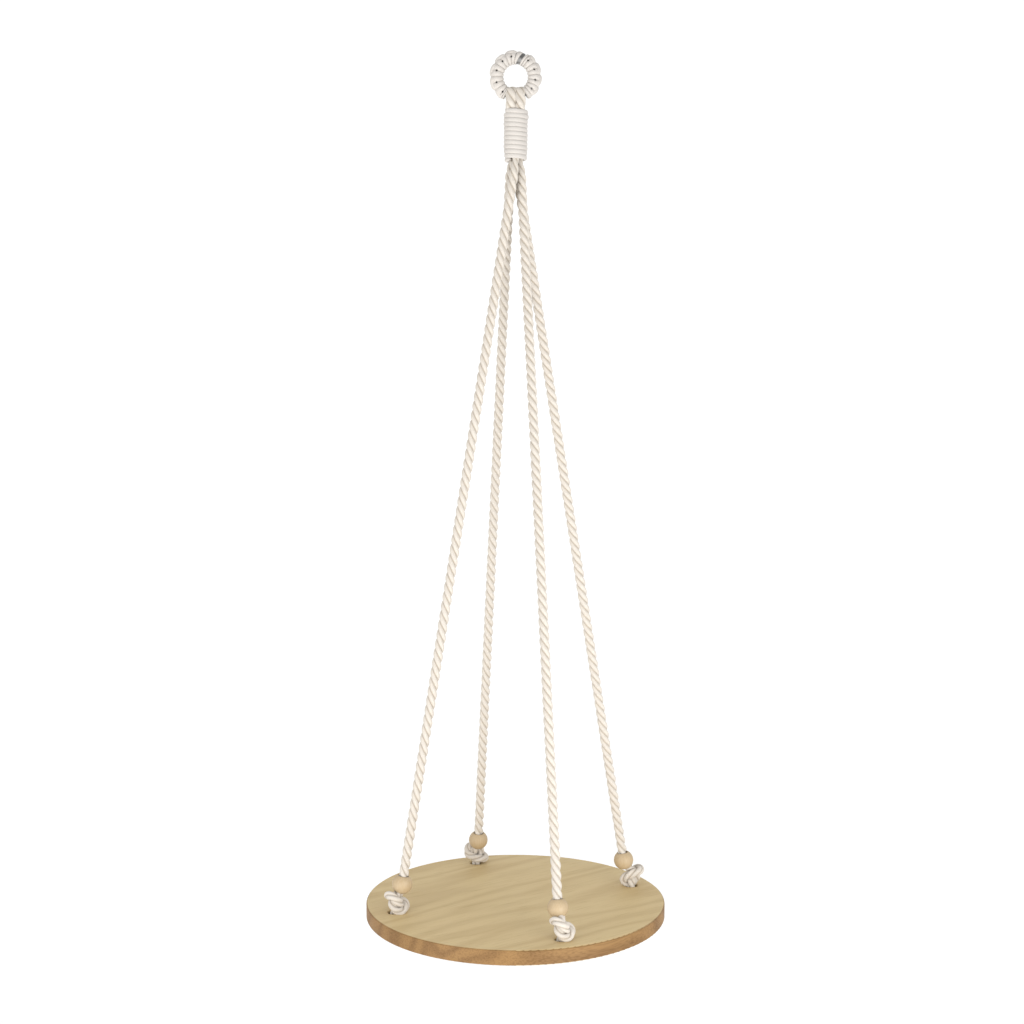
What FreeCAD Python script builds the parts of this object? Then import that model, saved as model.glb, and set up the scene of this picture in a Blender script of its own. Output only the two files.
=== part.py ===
import FreeCAD, Part

import math
import os

# Hanging rope planter shelf: a round wooden board on four legs of twisted
# cotton rope. Two ropes make the four legs. Each one is an endless sling: up a
# front leg, over a small steel ring, down a back leg, through the board and
# forward under it. A cord whipping gathers the ropes below the ring, a hitched
# cord covers the ring, and a wooden bead sits over an overhand knot at each
# corner of the board.
#
# Millimetres, +Z up, +X to the right, -Y to the front. The origin is the inside
# top of the ring's eye, where the hook carries the planter.

# --- driving dimensions ------------------------------------------------------
ROPE_D = 9.4                # three-strand cotton rope
HANG_DROP = 732.0           # board top to the lower end of the gathering wrap

BOARD_D = 300.0
BOARD_T = 15.0
BOARD_EDGE_ROUND = 1.5
HOLE_EDGE_INSET = 23.0      # hole centres inside the board's rim
HOLE_EASE = 1.0             # small chamfer at both mouths of each hole
FRONT_LEFT_ANGLE = -160.5   # of the front left hole, from +X towards +Y
POT_SEAT_MARGIN = 11.5      # plain middle of the board ends this far from the knots

EYE_R = 10.7                # clear eye of the covered ring
COVER_R = 7.3               # section radius of the ring with its cord cover
WIRE_D = 5.0                # steel ring wire
COVER_SPLIT_ANGLE = 76.0    # where the two ends of the cover meet, from +X
COVER_SPLIT_GAP = 2.6       # bare wire between those ends

FOLD_ROPE_W = 8.4           # width and thickness of a rope squeezed on the ring
FOLD_ROPE_T = 3.8
RING_TO_WRAP = 12.2         # ring wire's lowest centre point to the wrap's top

WRAP_TURNS = 12
WRAP_PITCH = 4.25
WRAP_WALL = 2.95            # coiled cord outside the rope bundle
WRAP_END_WALL = 1.8         # the last turn, drawn in
WRAP_TAPER_TURNS = 3
WRAP_GROOVE = 1.1           # valley between two turns
CORE_ROPE_D = 7.0           # rope squeezed inside the wrap

BEAD_D = 20.0
KNOT_D = 25.0
KNOT_H = 18.0
KNOT_REST_MARGIN = 5.0      # knot's flat top and foot reach past the rope
KNOT_INSET = 3.0            # knot's axis lies this much inside the hole circle
LEG_FOOT_INSET = 4.0        # leg's line meets the board this much inside it

SWAY_BALL_ROOM = 2.5        # bend at the wrap's end reaches past the rope bundle

# --- clearances --------------------------------------------------------------
WIRE_GAP = 0.05             # cover on the wire
FOLD_SIDE_GAP = 0.4         # cover's lower ends beside the folded ropes
FOLD_CENTRE_GAP = 0.4       # between the two folded ropes
FOLD_WIRE_GAP = 0.3         # folded rope over the curved wire, at any tilt
ROPE_GAP = 0.2              # between neighbouring ropes in a bundle
HOLE_ROPE_GAP = 1.55        # rope in its hole in the board, per side
WRAP_BORE_GAP = 0.35        # wrap round the rope bundle
TURN_GAP = 0.4              # between pieces that turn on each other
BEAD_BORE_GAP = 0.25        # bead on the rope, per side
BEAD_REST_GAP = 0.3         # bead over its knot
STRAP_GAP = 0.3             # rope under the board
STRAP_BEND_ROOM = 0.75      # rope's bend beyond the hole's own radius

# --- worked out from them ----------------------------------------------------
RING_R = EYE_R + COVER_R                    # centre line of the steel ring
WIRE_R = WIRE_D / 2
RING_Z = -EYE_R
PIVOT_Z = RING_Z - RING_R                   # ring wire's lowest centre point
WRAP_TOP_Z = PIVOT_Z - RING_TO_WRAP
WRAP_END_Z = WRAP_TOP_Z - WRAP_TURNS * WRAP_PITCH
BOARD_TOP_Z = WRAP_END_Z - HANG_DROP
BOARD_END_Z = BOARD_TOP_Z - BOARD_T
KNOT_TOP_Z = BOARD_TOP_Z + KNOT_H

HOLE_CIRCLE_R = BOARD_D / 2 - HOLE_EDGE_INSET
POT_SEAT_R = HOLE_CIRCLE_R - KNOT_INSET - KNOT_D / 2 - POT_SEAT_MARGIN

ROPE_R = ROPE_D / 2
HOLE_R = ROPE_R + HOLE_ROPE_GAP
KNOT_FLAT_R = ROPE_R + KNOT_REST_MARGIN
CORE_ROPE_R = CORE_ROPE_D / 2
CORE_OFFSET = CORE_ROPE_R + ROPE_GAP / 4
EXIT_SIDE = ROPE_R + ROPE_GAP / 2
EXIT_FRONT = EXIT_SIDE * math.sqrt(3)
WRAP_BORE_R = CORE_OFFSET * math.sqrt(2) + CORE_ROPE_R + WRAP_BORE_GAP
SWAY_BALL_R = EXIT_FRONT + ROPE_R + SWAY_BALL_ROOM
FOLD_X = (FOLD_ROPE_W + FOLD_CENTRE_GAP) / 2
FOLD_HALF_WIDTH = FOLD_X + FOLD_ROPE_W / 2

UP = FreeCAD.Vector(0, 0, 1)
ALONG_X = FreeCAD.Vector(1, 0, 0)
ALONG_Y = FreeCAD.Vector(0, 1, 0)
RING_CENTRE = FreeCAD.Vector(0, 0, RING_Z)
PIVOT = FreeCAD.Vector(0, 0, PIVOT_Z)
SWAY_CENTRE = FreeCAD.Vector(0, 0, WRAP_END_Z)

# Each leg: its name, the signs of its place in the bundle, its hole's number.
LEGS = (
    ("front_left", -1, -1, 0),
    ("front_right", 1, -1, 1),
    ("back_right", 1, 1, 2),
    ("back_left", -1, 1, 3),
)


def at_angle(radius, degrees, z):
    """Point at a radius and an angle from +X, at height z."""
    turn = math.radians(degrees)
    return FreeCAD.Vector(radius * math.cos(turn), radius * math.sin(turn), z)


def hole_point(number, inset, z):
    """Point over hole number, moved inwards by inset."""
    return at_angle(HOLE_CIRCLE_R - inset, FRONT_LEFT_ANGLE + 90 * number, z)


def slab(low_z, high_z):
    """Block wider than the whole planter between two heights."""
    side = 2 * BOARD_D
    corner = FreeCAD.Vector(-side / 2, -side / 2, low_z)
    return Part.makeBox(side, side, high_z - low_z, corner)


def polygon_face(points):
    """Flat face inside the closed outline through points."""
    return Part.Face(Part.makePolygon(points + [points[0]]))


def arc_edge(start, middle, end):
    return Part.Arc(start, middle, end).toShape()


def line_edge(start, end):
    return Part.LineSegment(start, end).toShape()


# --- ring ---------------------------------------------------------------------
def steel_ring():
    """Welded round-wire ring standing in the XZ plane."""
    return Part.makeTorus(RING_R, WIRE_R, RING_CENTRE, ALONG_Y)


def split_cut():
    """Thin radial block that separates the cover's two ends at the top."""
    reach = RING_R + 2 * COVER_R
    corner = FreeCAD.Vector(0, -2 * COVER_R, -COVER_SPLIT_GAP / 2)
    block = Part.makeBox(reach, 4 * COVER_R, COVER_SPLIT_GAP, corner)
    block.rotate(FreeCAD.Vector(0, 0, 0), ALONG_Y, -COVER_SPLIT_ANGLE)
    block.translate(RING_CENTRE)
    return block


def fold_cut():
    """Block round the folded ropes, where the cover leaves the wire bare."""
    half_width = FOLD_HALF_WIDTH + FOLD_SIDE_GAP
    corner = FreeCAD.Vector(-half_width, -2 * COVER_R, RING_Z - 2 * RING_R)
    return Part.makeBox(2 * half_width, 4 * COVER_R, 2 * RING_R, corner)


def ring_covers():
    """Hitched cord on the ring: the left length and the right length."""
    sleeve = Part.makeTorus(RING_R, COVER_R, RING_CENTRE, ALONG_Y)
    bore = Part.makeTorus(RING_R, WIRE_R + WIRE_GAP, RING_CENTRE, ALONG_Y)
    cover = sleeve.cut(bore).cut(split_cut()).cut(fold_cut())
    by_x = sorted(cover.Solids, key=lambda solid: solid.CenterOfMass.x)
    return {"ring_cover_left": by_x[0], "ring_cover_right": by_x[-1]}


# --- folded ropes and the gathering wrap ---------------------------------------
def fold_radius():
    """Distance from the fold's axis to a folded rope's centre line.

    The inside of the ring rises away from that axis as it curves, so the rope
    clears it by FOLD_WIRE_GAP where they come nearest across its width.
    """
    steps = 40
    nearest = 0.0
    for step in range(steps + 1):
        across = 2 * step / steps - 1
        x = FOLD_X + across * FOLD_ROPE_W / 2
        wire_top = RING_R - math.sqrt((RING_R - WIRE_R) ** 2 - x ** 2)
        half_thickness = FOLD_ROPE_T / 2 * math.sqrt(1 - across ** 2)
        nearest = max(nearest, wire_top + half_thickness)
    return nearest + FOLD_WIRE_GAP


def squeezed_section(x, y, z):
    """Level elliptical section of a rope pressed flat, wide along X."""
    ellipse = Part.Ellipse(FreeCAD.Vector(0, 0, 0), FOLD_ROPE_W / 2, FOLD_ROPE_T / 2)
    edge = ellipse.toShape()
    edge.translate(FreeCAD.Vector(x, y, z))
    return Part.Face(Part.Wire(edge))


def rope_fold(x):
    """Rope over the ring: half a turn over the wire, then down to the wrap."""
    fold_r = fold_radius()
    crown = squeezed_section(x, -fold_r, PIVOT_Z)
    shape = crown.revolve(PIVOT, ALONG_X, -180)
    for y in (-fold_r, fold_r):
        foot = squeezed_section(x, y, WRAP_TOP_Z)
        shape = shape.fuse(foot.extrude(UP * RING_TO_WRAP))
    return shape.removeSplitter()


def turn_radius(turn):
    """Outer radius of a turn of the wrap, counted from the top."""
    first_drawn_in = WRAP_TURNS - WRAP_TAPER_TURNS
    share = max(0, turn - first_drawn_in + 1) / WRAP_TAPER_TURNS
    return WRAP_BORE_R + WRAP_WALL - (WRAP_WALL - WRAP_END_WALL) * share ** 2


def gather_wrap():
    """Coiled cord sleeve: a bore with one rounded ridge for each turn."""
    edges = []
    top_inner = FreeCAD.Vector(WRAP_BORE_R, 0, WRAP_TOP_Z)
    corner = FreeCAD.Vector(turn_radius(0) - WRAP_GROOVE, 0, WRAP_TOP_Z)
    edges.append(line_edge(top_inner, corner))
    for turn in range(WRAP_TURNS):
        z = WRAP_TOP_Z - turn * WRAP_PITCH
        crest = FreeCAD.Vector(turn_radius(turn), 0, z - WRAP_PITCH / 2)
        valley = FreeCAD.Vector(turn_radius(turn) - WRAP_GROOVE, 0, z - WRAP_PITCH)
        edges.append(arc_edge(corner, crest, valley))
        corner = valley
    end_inner = FreeCAD.Vector(WRAP_BORE_R, 0, WRAP_END_Z)
    edges.append(line_edge(corner, end_inner))
    edges.append(line_edge(end_inner, top_inner))
    face = Part.Face(Part.Wire(edges))
    return face.revolve(FreeCAD.Vector(0, 0, 0), UP, 360)


# --- ropes ----------------------------------------------------------------------
def exit_point(side_x, side_y):
    """Centre of a rope where it leaves the wrap.

    The four ropes lie closest packed: two side by side, one before and one behind.
    """
    across = (side_x - side_y) / 2 * EXIT_SIDE
    along = (side_x + side_y) / 2 * EXIT_FRONT
    return FreeCAD.Vector(across, along, WRAP_END_Z)


def leg_line(side_x, side_y, number):
    """Start and unit direction of a leg's centre line, running down."""
    start = exit_point(side_x, side_y)
    way = hole_point(number, LEG_FOOT_INSET, BOARD_TOP_Z) - start
    return start, way.normalize()


def leg_rod(side_x, side_y, number):
    """Full straight rod of rope on a leg's centre line, past both its ends."""
    start, way = leg_line(side_x, side_y, number)
    return Part.makeCylinder(ROPE_R, 1.2 * HANG_DROP, start - way * ROPE_D, way)


def rope_core(side_x, side_y, number):
    """Rope inside the wrap, and its short visible end down to the sway ball."""
    top = WRAP_TOP_Z - TURN_GAP
    foot = WRAP_END_Z - TURN_GAP
    centre = FreeCAD.Vector(side_x * CORE_OFFSET, side_y * CORE_OFFSET, foot)
    inside = Part.makeCylinder(CORE_ROPE_R, top - foot, centre, UP)
    ball = Part.makeSphere(SWAY_BALL_R, SWAY_CENTRE)
    below = slab(WRAP_END_Z - 2 * SWAY_BALL_R, WRAP_END_Z - TURN_GAP)
    tail = leg_rod(side_x, side_y, number).common(ball).common(below)
    return inside.fuse(tail).removeSplitter()


def rope_leg(side_x, side_y, number):
    """Straight rope from the sway ball down to the top of its knot."""
    ball = Part.makeSphere(SWAY_BALL_R + TURN_GAP, SWAY_CENTRE)
    above_knot = slab(KNOT_TOP_Z, WRAP_END_Z)
    return leg_rod(side_x, side_y, number).cut(ball).common(above_knot)


def rope_knot(number):
    """Overhand knot on the board, as a plain barrel with rounded rims."""
    axis = hole_point(number, KNOT_INSET, 0)
    rim = KNOT_D / 2 - KNOT_FLAT_R
    shift = rim * (1 - math.sqrt(0.5))
    belly = KNOT_D / 2

    def spot(radius, z):
        return FreeCAD.Vector(radius, 0, z)

    low = BOARD_TOP_Z
    high = KNOT_TOP_Z
    edges = [
        line_edge(spot(0, low), spot(KNOT_FLAT_R, low)),
        arc_edge(spot(KNOT_FLAT_R, low), spot(belly - shift, low + shift), spot(belly, low + rim)),
        line_edge(spot(belly, low + rim), spot(belly, high - rim)),
        arc_edge(spot(belly, high - rim), spot(belly - shift, high - shift), spot(KNOT_FLAT_R, high)),
        line_edge(spot(KNOT_FLAT_R, high), spot(0, high)),
        line_edge(spot(0, high), spot(0, low)),
    ]
    knot = Part.Face(Part.Wire(edges)).revolve(FreeCAD.Vector(0, 0, 0), UP, 360)
    knot.translate(axis)
    return knot


def strap_bend_r():
    """Centre-line radius of the rope's bend round the hole's lower edge."""
    return HOLE_R + STRAP_BEND_ROOM


def board_strap(first, second):
    """Rope down one hole, under the board and up the other hole.

    Straight runs joined by quarter-circle arcs that touch them.
    """
    bend = strap_bend_r()
    run_z = BOARD_END_Z - STRAP_GAP - ROPE_R
    start = hole_point(first, 0, BOARD_TOP_Z)
    end = hole_point(second, 0, BOARD_TOP_Z)
    across = (end - start).normalize()
    short = bend * (1 - math.sqrt(0.5))
    edges = []
    corners = []
    for point, inward in ((start, across), (end, across * -1)):
        high = FreeCAD.Vector(point.x, point.y, run_z + bend)
        low = FreeCAD.Vector(point.x, point.y, run_z) + inward * bend
        middle = FreeCAD.Vector(point.x, point.y, run_z + short) + inward * short
        corners.append((high, middle, low))
    (high_a, middle_a, low_a), (high_b, middle_b, low_b) = corners
    edges.append(line_edge(start, high_a))
    edges.append(arc_edge(high_a, middle_a, low_a))
    edges.append(line_edge(low_a, low_b))
    edges.append(arc_edge(low_b, middle_b, high_b))
    edges.append(line_edge(high_b, end))
    path = Part.Wire(edges)
    section = Part.Wire(Part.makeCircle(ROPE_R, start, UP))
    strap = path.makePipeShell([section], True, True)
    report_tube("strap", strap, path.Length, [bend, bend])
    return strap


def report_tube(name, shape, length, radii):
    """Print a tube's bend radii, and its volume against section times length."""
    expected = math.pi * ROPE_R ** 2 * length
    shown = ", ".join("%.2f" % radius for radius in radii)
    print("%s: bend radii %s mm, length %.1f mm, volume ratio %.4f"
          % (name, shown, length, shape.Volume / expected))


# --- wooden pieces ---------------------------------------------------------------
def bead_half_length():
    """Half the length of a bead, between the rims of its bore."""
    return math.sqrt((BEAD_D / 2) ** 2 - (ROPE_R + BEAD_BORE_GAP) ** 2)


def bead_centre(side_x, side_y, number):
    """Centre of a bead that rests just over its knot, on its leg's line."""
    start, way = leg_line(side_x, side_y, number)
    bore_r = ROPE_R + BEAD_BORE_GAP
    slant = math.sqrt(1 - way.z ** 2)
    reach_down = bead_half_length() * -way.z + bore_r * slant
    height = KNOT_TOP_Z + BEAD_REST_GAP + reach_down
    return start + way * ((height - start.z) / way.z)


def bead(side_x, side_y, number):
    """Wooden ball bead, bored for the rope."""
    way = leg_line(side_x, side_y, number)[1]
    centre = bead_centre(side_x, side_y, number)
    ball = Part.makeSphere(BEAD_D / 2, centre, way)
    bore = Part.makeCylinder(ROPE_R + BEAD_BORE_GAP, 2 * BEAD_D, centre - way * BEAD_D, way)
    return ball.cut(bore)


def board_blank():
    """Round board with rounded rims. Its top has a separate round middle face."""
    outer = BOARD_D / 2
    top = BOARD_TOP_Z
    low = BOARD_END_Z
    ease = BOARD_EDGE_ROUND
    shift = ease * (1 - math.sqrt(0.5))

    def spot(radius, z):
        return FreeCAD.Vector(radius, 0, z)

    edges = [
        line_edge(spot(0, low), spot(outer - ease, low)),
        arc_edge(spot(outer - ease, low), spot(outer - shift, low + shift), spot(outer, low + ease)),
        line_edge(spot(outer, low + ease), spot(outer, top - ease)),
        arc_edge(spot(outer, top - ease), spot(outer - shift, top - shift), spot(outer - ease, top)),
        line_edge(spot(outer - ease, top), spot(POT_SEAT_R, top)),
        line_edge(spot(POT_SEAT_R, top), spot(0, top)),
        line_edge(spot(0, top), spot(0, low)),
    ]
    return Part.Face(Part.Wire(edges)).revolve(FreeCAD.Vector(0, 0, 0), UP, 360)


def hole_cutter(number):
    """Drill through the board with a chamfer at each mouth."""
    centre = hole_point(number, 0, 0)
    wide = HOLE_R + HOLE_EASE
    outline = [
        FreeCAD.Vector(0, 0, BOARD_END_Z),
        FreeCAD.Vector(wide, 0, BOARD_END_Z),
        FreeCAD.Vector(HOLE_R, 0, BOARD_END_Z + HOLE_EASE),
        FreeCAD.Vector(HOLE_R, 0, BOARD_TOP_Z - HOLE_EASE),
        FreeCAD.Vector(wide, 0, BOARD_TOP_Z),
        FreeCAD.Vector(0, 0, BOARD_TOP_Z),
    ]
    cutter = polygon_face(outline).revolve(FreeCAD.Vector(0, 0, 0), UP, 360)
    cutter.translate(centre)
    return cutter


def round_board():
    board = board_blank()
    for number in range(len(LEGS)):
        board = board.cut(hole_cutter(number))
    return board


# --- the whole planter -------------------------------------------------------------
def build_nodes():
    """Every node's name and shape."""
    nodes = {"steel_ring": steel_ring()}
    nodes.update(ring_covers())
    nodes["rope_fold_left"] = rope_fold(-FOLD_X)
    nodes["rope_fold_right"] = rope_fold(FOLD_X)
    nodes["gather_wrap"] = gather_wrap()
    for name, side_x, side_y, number in LEGS:
        nodes["rope_core_" + name] = rope_core(side_x, side_y, number)
        nodes["rope_leg_" + name] = rope_leg(side_x, side_y, number)
        nodes["rope_knot_" + name] = rope_knot(number)
        nodes["bead_" + name] = bead(side_x, side_y, number)
    nodes["board_strap_left"] = board_strap(0, 3)
    nodes["board_strap_right"] = board_strap(1, 2)
    nodes["round_board"] = round_board()
    return nodes


def one_solid(shape):
    """The single solid of a shape, or an error if it has more or none."""
    solids = shape.Solids
    if len(solids) != 1 or not solids[0].isValid():
        raise ValueError("expected one valid solid, found %d" % len(solids))
    return solids[0]


def main():
    os.makedirs("parts", exist_ok=True)
    for name, shape in build_nodes().items():
        solid = one_solid(shape)
        solid.exportStep("parts/%s.step" % name)
        box = solid.BoundBox
        print("%-24s volume %10.1f  z %8.2f to %8.2f" % (name, solid.Volume, box.ZMin, box.ZMax))
    for name, side_x, side_y, number in LEGS:
        way = leg_line(side_x, side_y, number)[1]
        centre = bead_centre(side_x, side_y, number)
        print("bead_%s centre %.4f %.4f %.4f, way up %.6f %.6f %.6f"
              % (name, centre.x, centre.y, centre.z, -way.x, -way.y, -way.z))


main()
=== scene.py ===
"""Hanging rope planter shelf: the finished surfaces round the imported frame.

A round board hangs on two endless cotton ropes from a small ring covered with
hitched cord. A whipping gathers the ropes under the ring, and a wooden bead sits
over an overhand knot at each corner. Metres, +Z up, +X to the right, -Y to the
front, origin at the inside top of the ring's eye.
"""

import logging
import math
from dataclasses import dataclass, field
from enum import Enum
from typing import Optional, Union

import bpy
import numpy as np
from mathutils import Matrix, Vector


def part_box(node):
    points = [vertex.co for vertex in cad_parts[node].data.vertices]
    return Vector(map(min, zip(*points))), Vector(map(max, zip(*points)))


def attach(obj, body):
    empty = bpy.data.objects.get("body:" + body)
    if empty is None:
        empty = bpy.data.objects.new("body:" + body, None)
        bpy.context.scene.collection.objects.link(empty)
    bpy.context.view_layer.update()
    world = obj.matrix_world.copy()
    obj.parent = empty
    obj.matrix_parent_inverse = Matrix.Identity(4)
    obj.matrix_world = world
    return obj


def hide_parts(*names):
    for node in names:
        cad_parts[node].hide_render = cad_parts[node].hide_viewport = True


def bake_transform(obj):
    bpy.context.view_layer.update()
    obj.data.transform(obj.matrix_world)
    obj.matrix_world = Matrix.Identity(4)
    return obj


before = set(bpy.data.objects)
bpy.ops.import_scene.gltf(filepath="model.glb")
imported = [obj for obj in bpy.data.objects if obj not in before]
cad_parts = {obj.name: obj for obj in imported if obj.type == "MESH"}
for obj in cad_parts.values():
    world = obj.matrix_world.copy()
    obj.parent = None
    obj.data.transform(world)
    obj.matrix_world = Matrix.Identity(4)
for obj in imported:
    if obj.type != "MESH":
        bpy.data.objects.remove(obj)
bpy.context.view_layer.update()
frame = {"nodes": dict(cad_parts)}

MM = 0.001
CM = 10 * MM                    # one unit of V on every cord
TURN = 2 * math.pi
Triple = tuple[float, float, float]
Colour = Triple
log = logging.getLogger("planter")


# --- materials: the node canvas ------------------------------------------------------
class Value:
    """One output socket, with arithmetic that adds Math nodes behind it."""

    def __init__(self, canvas: "Canvas", socket: bpy.types.NodeSocket) -> None:
        """Wrap a socket.

        Args:
            canvas: the canvas that the socket's node stands on.
            socket: an output socket.
        """
        self.canvas = canvas
        self.socket = socket

    def _math(self, operation: str, *terms: "Term") -> "Value":
        """Add one Math node.

        Args:
            operation: the node's operation.
            terms: its inputs, as values or numbers, in order.

        Returns:
            The node's result.
        """
        sockets = dict(enumerate(terms))
        return self.canvas.node("ShaderNodeMath", {"operation": operation}, sockets)

    def __add__(self, other: "Term") -> "Value":
        """Sum."""
        return self._math("ADD", self, other)

    def __radd__(self, other: "Term") -> "Value":
        """Sum, with the value on the right."""
        return self._math("ADD", other, self)

    def __sub__(self, other: "Term") -> "Value":
        """Difference."""
        return self._math("SUBTRACT", self, other)

    def __rsub__(self, other: "Term") -> "Value":
        """Difference, with the value on the right."""
        return self._math("SUBTRACT", other, self)

    def __mul__(self, other: "Term") -> "Value":
        """Product."""
        return self._math("MULTIPLY", self, other)

    def __rmul__(self, other: "Term") -> "Value":
        """Product, with the value on the right."""
        return self._math("MULTIPLY", other, self)

    def __pow__(self, other: "Term") -> "Value":
        """Power."""
        return self._math("POWER", self, other)

    def __rpow__(self, other: "Term") -> "Value":
        """Power, with the value on the right."""
        return self._math("POWER", other, self)

    def fraction(self) -> "Value":
        """The part after the decimal point."""
        return self._math("FRACT", self)

    def size(self) -> "Value":
        """The value without its sign."""
        return self._math("ABSOLUTE", self)

    def root(self) -> "Value":
        """The square root."""
        return self._math("SQRT", self)

    def ripple(self) -> "Value":
        """A wave from 0 to 1, one for each unit of the value."""
        return self._math("SINE", self * TURN) * 0.5 + 0.5

    def step(self, low: float, high: float) -> "Value":
        """A soft step.

        Args:
            low: where the step starts to rise from 0.
            high: where it reaches 1.

        Returns:
            The step, smooth at both ends.
        """
        settings = {"interpolation_type": "SMOOTHSTEP"}
        sockets = {"Value": self, "From Min": low, "From Max": high}
        return self.canvas.node("ShaderNodeMapRange", settings, sockets)


Term = Union[Value, float]


class Canvas:
    """A new material and the one method that puts nodes in it."""

    def __init__(self, name: str) -> None:
        """Start an empty material.

        Args:
            name: the material's name.
        """
        self.material = bpy.data.materials.new(name)
        self.material.use_nodes = True
        self.tree = self.material.node_tree
        self.tree.nodes.clear()

    def node(
        self,
        kind: str,
        settings: Optional[dict] = None,
        sockets: Optional[dict] = None,
        output: Union[int, str] = 0,
    ) -> Value:
        """Add any node: its settings first, then its sockets.

        Args:
            kind: the node's type.
            settings: its properties, such as a Math node's operation.
            sockets: a number, colour, vector or Value for each input.
            output: the output to hand back.

        Returns:
            That output, as a Value; on a node with no outputs the Value is empty.
        """
        made = self.tree.nodes.new(kind)
        for key, setting in (settings or {}).items():
            setattr(made, key, setting)
        for key, value in (sockets or {}).items():
            socket = made.inputs[key]
            if isinstance(value, Value):
                self.tree.links.new(value.socket, socket)
            elif isinstance(value, tuple) and socket.type == "RGBA":
                socket.default_value = (*value, 1.0)
            else:
                socket.default_value = value
        return Value(self, made.outputs[output] if made.outputs else None)

    def mix(self, share: Term, first: "Paint", second: "Paint") -> Value:
        """Mix two colours.

        Args:
            share: how much of the second colour there is.
            first: a colour or a Value that carries one.
            second: the other colour.

        Returns:
            The mixed colour.
        """
        factor, first_colour, second_colour, colour_out = 0, 6, 7, 2
        sockets = {factor: share, first_colour: first, second_colour: second}
        return self.node("ShaderNodeMix", {"data_type": "RGBA"}, sockets, colour_out)

    def noise(self, place: Value, scale: float, detail: float = 2.0) -> Value:
        """Smooth noise from 0 to 1.

        Args:
            place: the coordinates.
            scale: cells for each unit of them.
            detail: how many finer layers it has.

        Returns:
            The noise.
        """
        sockets = {"Vector": place, "Scale": scale, "Detail": detail}
        return self.node("ShaderNodeTexNoise", None, sockets)

    def place(self, turn_deg: float = 0.0, scale: Triple = (1.0, 1.0, 1.0)) -> Value:
        """Object coordinates, turned about Z and stretched.

        Args:
            turn_deg: the turn, in degrees.
            scale: the stretch along each turned axis.

        Returns:
            The coordinates.
        """
        coords = self.node("ShaderNodeTexCoord", None, None, "Object")
        turn = (0.0, 0.0, math.radians(turn_deg))
        turned = self.node("ShaderNodeMapping", None, {"Vector": coords, "Rotation": turn})
        return self.node("ShaderNodeMapping", None, {"Vector": turned, "Scale": scale})

    def parts(self, vector: Value) -> tuple[Value, Value, Value]:
        """The three numbers of a vector.

        Args:
            vector: the vector.

        Returns:
            Its X, Y and Z.
        """
        first = self.node("ShaderNodeSeparateXYZ", None, {"Vector": vector})
        x, y, z = (Value(self, socket) for socket in first.socket.node.outputs)
        return x, y, z

    def bump(self, height: Value, depth: float, strength: float = 1.0) -> Value:
        """A normal from a height.

        Args:
            height: the height, from 0 to 1.
            depth: what a height of 1 stands for, in metres.
            strength: how much of it shows.

        Returns:
            The normal.
        """
        sockets = {"Height": height, "Distance": depth, "Strength": strength}
        return self.node("ShaderNodeBump", None, sockets)

    def finish(self, **sockets: "Paint") -> bpy.types.Material:
        """Close the material with one Principled shader.

        Args:
            sockets: its inputs, with _ for a space in a name.

        Returns:
            The material.
        """
        named = {key.replace("_", " "): value for key, value in sockets.items()}
        shader = self.node("ShaderNodeBsdfPrincipled", None, named)
        self.node("ShaderNodeOutputMaterial", None, {"Surface": shader})
        return self.material


Paint = Union[Value, float, Colour]


# --- finishes --------------------------------------------------------------------------
@dataclass(frozen=True)
class TwistedCotton:
    """Undyed cotton, laid from yarns, on a piece whose UV runs across and along.

    U goes once round the cord, and V counts centimetres along it.
    """

    name: str
    strands: int
    yarns: int                  # yarn lines across one strand's face
    yarn_slant: float           # yarn lines passed for each centimetre along
    crest: Colour = (0.71, 0.66, 0.595)
    # painted shade for the hollows between strands
    hollow_shade: Colour = (0.47, 0.41, 0.335)
    # painted shade for the grooves between yarn lines
    yarn_groove_shade: Colour = (0.60, 0.545, 0.475)
    depth: float = 0.22 * MM

    def paint(self) -> bpy.types.Material:
        """Build the material.

        Yarn lines are a wave of U times the yarns plus V times the slant, bent by noise. The low
        grooves between yarn lines, where the bump lies deep, are painted darker as shade. The hollows
        between strands are painted shade: darker and warmer than the crests.

        Returns:
            The material.
        """
        canvas = Canvas(self.name)
        across, along, _ = canvas.parts(canvas.node("ShaderNodeUVMap"))
        place = canvas.place()
        wander = canvas.noise(place, 260.0)
        strand = across * float(self.strands)
        lines = strand * float(self.yarns) + along * self.yarn_slant + wander * 0.7
        yarn = lines.ripple()
        fibres = canvas.noise(canvas.place(0.0, (1.0, 1.0, 0.35)), 2600.0, 3.0)
        cloud = canvas.noise(place, 22.0)
        # painted shade: the tone darkens where the yarn and fibre bump lies low
        tone = canvas.mix((yarn * 0.42 + fibres * 0.35).step(0.75, 0.0), self.crest, self.yarn_groove_shade)
        tone = canvas.mix(cloud.step(0.35, 0.75) * 0.22, tone, (0.65, 0.60, 0.54))
        height = yarn * 0.7 + fibres * 0.45
        if self.strands > 1:
            crest = 1 - (strand.fraction() * 2 - 1).size()
            # painted shade: the hollows between strands are darker and warmer than the crests
            tone = canvas.mix(crest.step(0.0, 0.42), self.hollow_shade, tone)
            height = height * crest.step(0.0, 0.3)
        rough = fibres * 0.1 + 0.85
        return canvas.finish(
            Base_Color=tone,
            Roughness=rough,
            Sheen_Weight=0.25,
            Sheen_Roughness=0.5,
            Specular_IOR_Level=0.2,
            Normal=canvas.bump(height, self.depth),
        )


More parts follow.
